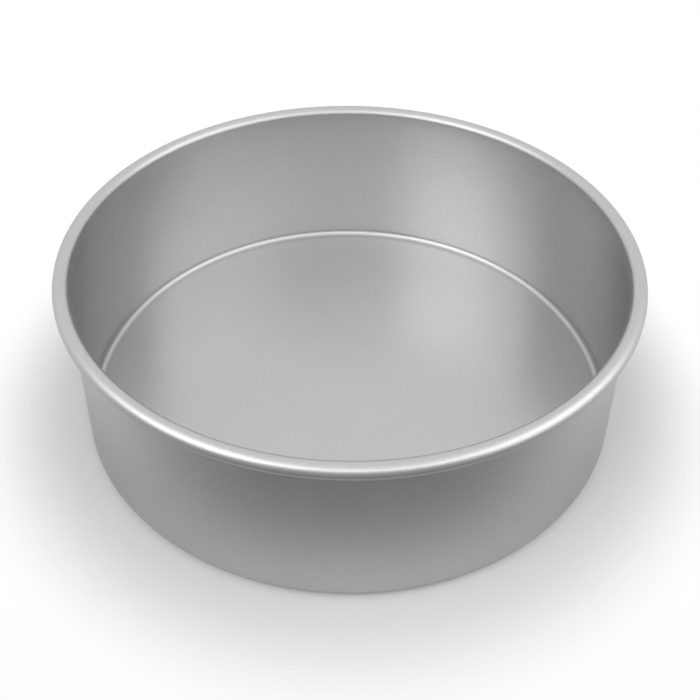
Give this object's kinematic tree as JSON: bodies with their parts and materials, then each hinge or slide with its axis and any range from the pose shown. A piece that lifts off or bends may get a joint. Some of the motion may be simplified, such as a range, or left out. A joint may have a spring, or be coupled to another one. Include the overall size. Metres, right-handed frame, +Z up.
{
  "type": "round cake tin",
  "caption": "Deep round cake tin of satin aluminium sheet with a flat fixed base, a straight wall and a rim rolled outward round a steel wire.",
  "frame": {"origin": "middle of the underside, on the surface that the tin stands on", "axes": "+Z up along the middle of the round tin; X and Y are free directions across it, and the ends of the rim wire meet on +Y"},
  "size_m": [0.2416, 0.2416, 0.0762],
  "materials": {
    "satin_aluminium": "satin anodised sheet",
    "steel_wire": "drawn galvanised wire"
  },
  "bodies": {
    "root": {"pan_shell": "satin_aluminium", "rim_wire": "steel_wire"}
  },
  "joints": []
}
